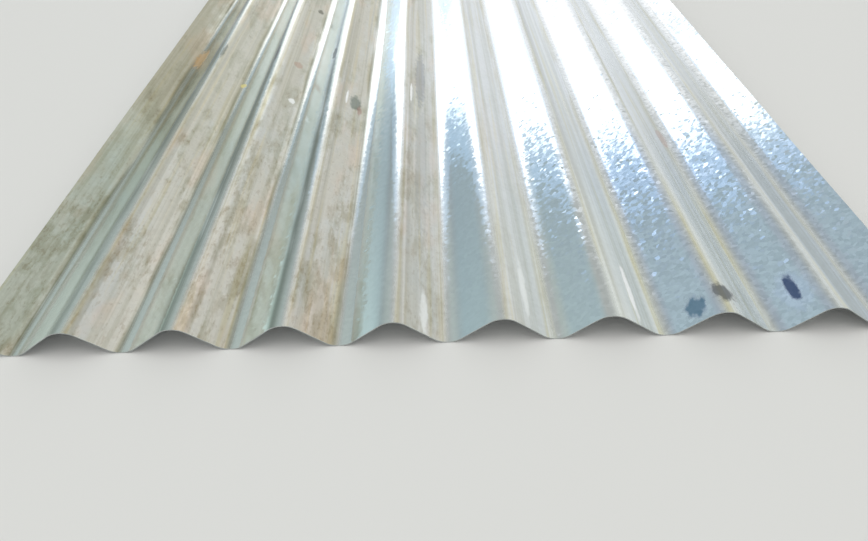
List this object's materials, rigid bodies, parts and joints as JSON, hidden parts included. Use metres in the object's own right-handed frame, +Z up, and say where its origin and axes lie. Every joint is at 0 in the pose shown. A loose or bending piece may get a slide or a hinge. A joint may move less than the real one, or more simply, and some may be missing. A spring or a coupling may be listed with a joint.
{
  "type": "corrugated metal sheet",
  "caption": "Galvanised steel roofing sheet rolled into even rounded waves along its length, with square ends and both side edges turned up for lapping.",
  "frame": {"origin": "under the middle of the sheet, on the level that the bottoms of its troughs rest on", "axes": "+X across the waves, +Y along them, +Z up, with the face that weathers on top"},
  "size_m": [0.6684, 1.8288, 0.0197],
  "materials": {
    "galvanised_steel": "hot-dip zinc with a fine spangle, lengthwise rolling streaks and a thin film of dust"
  },
  "bodies": {
    "root": {"corrugated_sheet": "galvanised_steel"}
  },
  "joints": []
}
